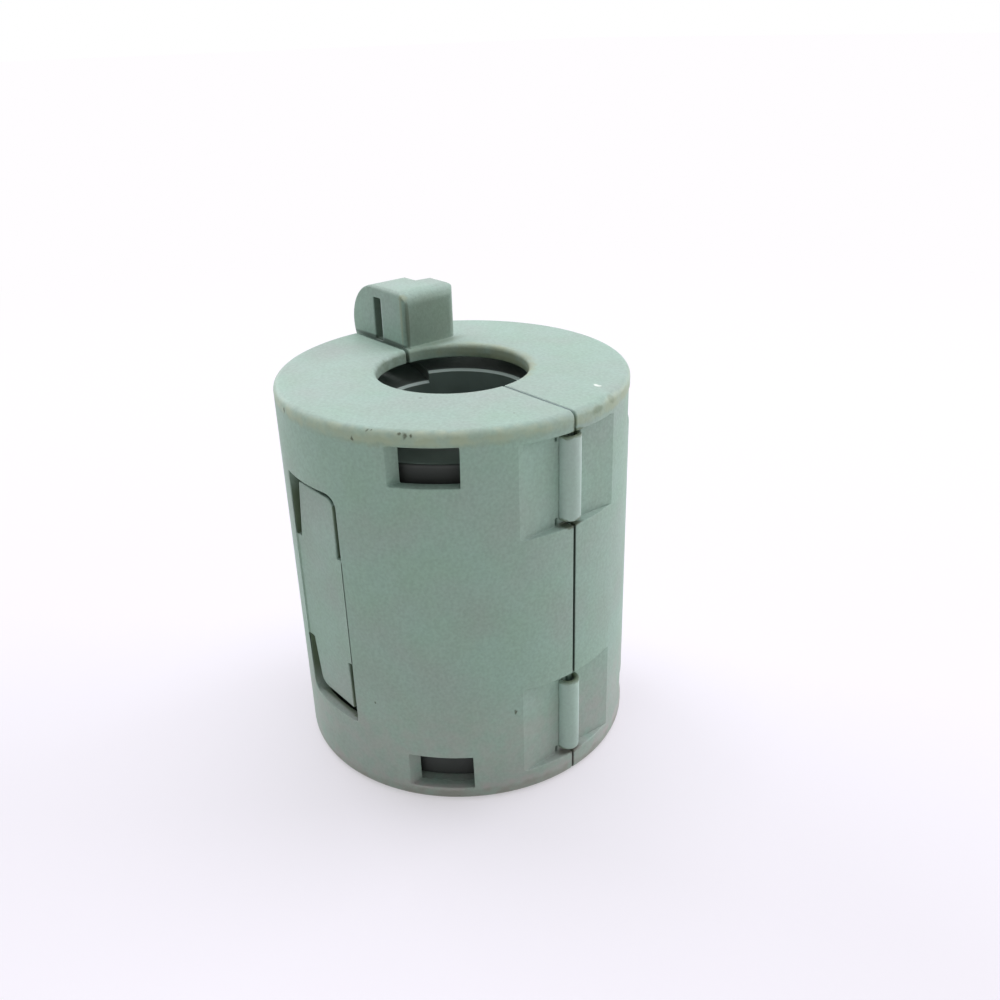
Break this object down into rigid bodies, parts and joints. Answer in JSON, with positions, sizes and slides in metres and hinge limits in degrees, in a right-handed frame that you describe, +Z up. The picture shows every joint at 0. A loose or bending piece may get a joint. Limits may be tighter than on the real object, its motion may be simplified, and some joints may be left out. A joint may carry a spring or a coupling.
{
  "type": "hinged round cable ferrite clamp",
  "caption": "Hinged two-part plastic case round two ferrite half cores with a cable bore, end windows, snap latches and a cable tie tab.",
  "frame": {"origin": "centre of the cable bore at the lower end face of the case, on the surface that the case stands on", "axes": "+Z up along the cable bore to the end with the tie tab; the seam lies in the XZ plane, with the living hinges at +X and the snap latches at -X; -Y points out of the side plate"},
  "size_m": [0.0305, 0.03, 0.039],
  "materials": {
    "case": "moulded nylon 66, pale grey green, fine spark-eroded texture, soft matt sheen",
    "ferrite": "sintered ferrite ceramic, dark grey and matt, with a ground faint sheen in the bore"
  },
  "bodies": {
    "back": {"back_shell": "case", "back_core": "ferrite", "upper_hinge_strap": "case", "lower_hinge_strap": "case"},
    "front": {"front_shell": "case", "front_core": "ferrite"}
  },
  "joints": [
    {"name": "case_hinge", "type": "hinge", "parent": "back", "child": "front", "pos_m": [0.01525, 0, 0], "axis": [0, 0, 1], "range_deg": [0, 180], "deforming": ["upper_hinge_strap", "lower_hinge_strap"]}
  ]
}
